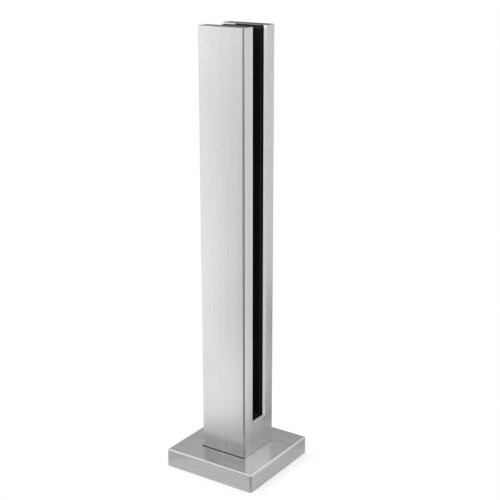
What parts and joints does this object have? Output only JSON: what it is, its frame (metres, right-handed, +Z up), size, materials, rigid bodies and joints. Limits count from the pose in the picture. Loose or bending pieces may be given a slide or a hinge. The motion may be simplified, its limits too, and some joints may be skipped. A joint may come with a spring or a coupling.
{
  "type": "glass balustrade post",
  "caption": "Short square post of brushed stainless steel with a rubber-lined slot that holds a glass pane, welded to an anchor plate that a loose square cover hides.",
  "frame": {"origin": "centre of the four anchor holes, on the underside of the base plate where it stands on the floor", "axes": "+Z up along the post, +X along the pane that passes through the slot, +Y from the front half to the rear half"},
  "size_m": [0.1, 0.1, 0.43],
  "materials": {
    "brushed_stainless": "satin, brushed along the post",
    "cover_stainless": "satin, brushed one way",
    "plain_stainless": "plain mill finish",
    "weld_steel": "cleaned weld bead",
    "black_rubber": "matt black"
  },
  "bodies": {
    "post": {"post_tube": "brushed_stainless", "glazing_channel": "plain_stainless", "front_cap": "brushed_stainless", "rear_cap": "brushed_stainless", "slot_liner": "black_rubber", "base_plate": "plain_stainless", "base_weld": "weld_steel"},
    "cover": {"base_cover": "cover_stainless"}
  },
  "joints": [
    {"name": "cover_slide", "type": "slide", "parent": "post", "child": "cover", "axis": [0, 0, 1], "range_m": [0, 0.412]}
  ]
}
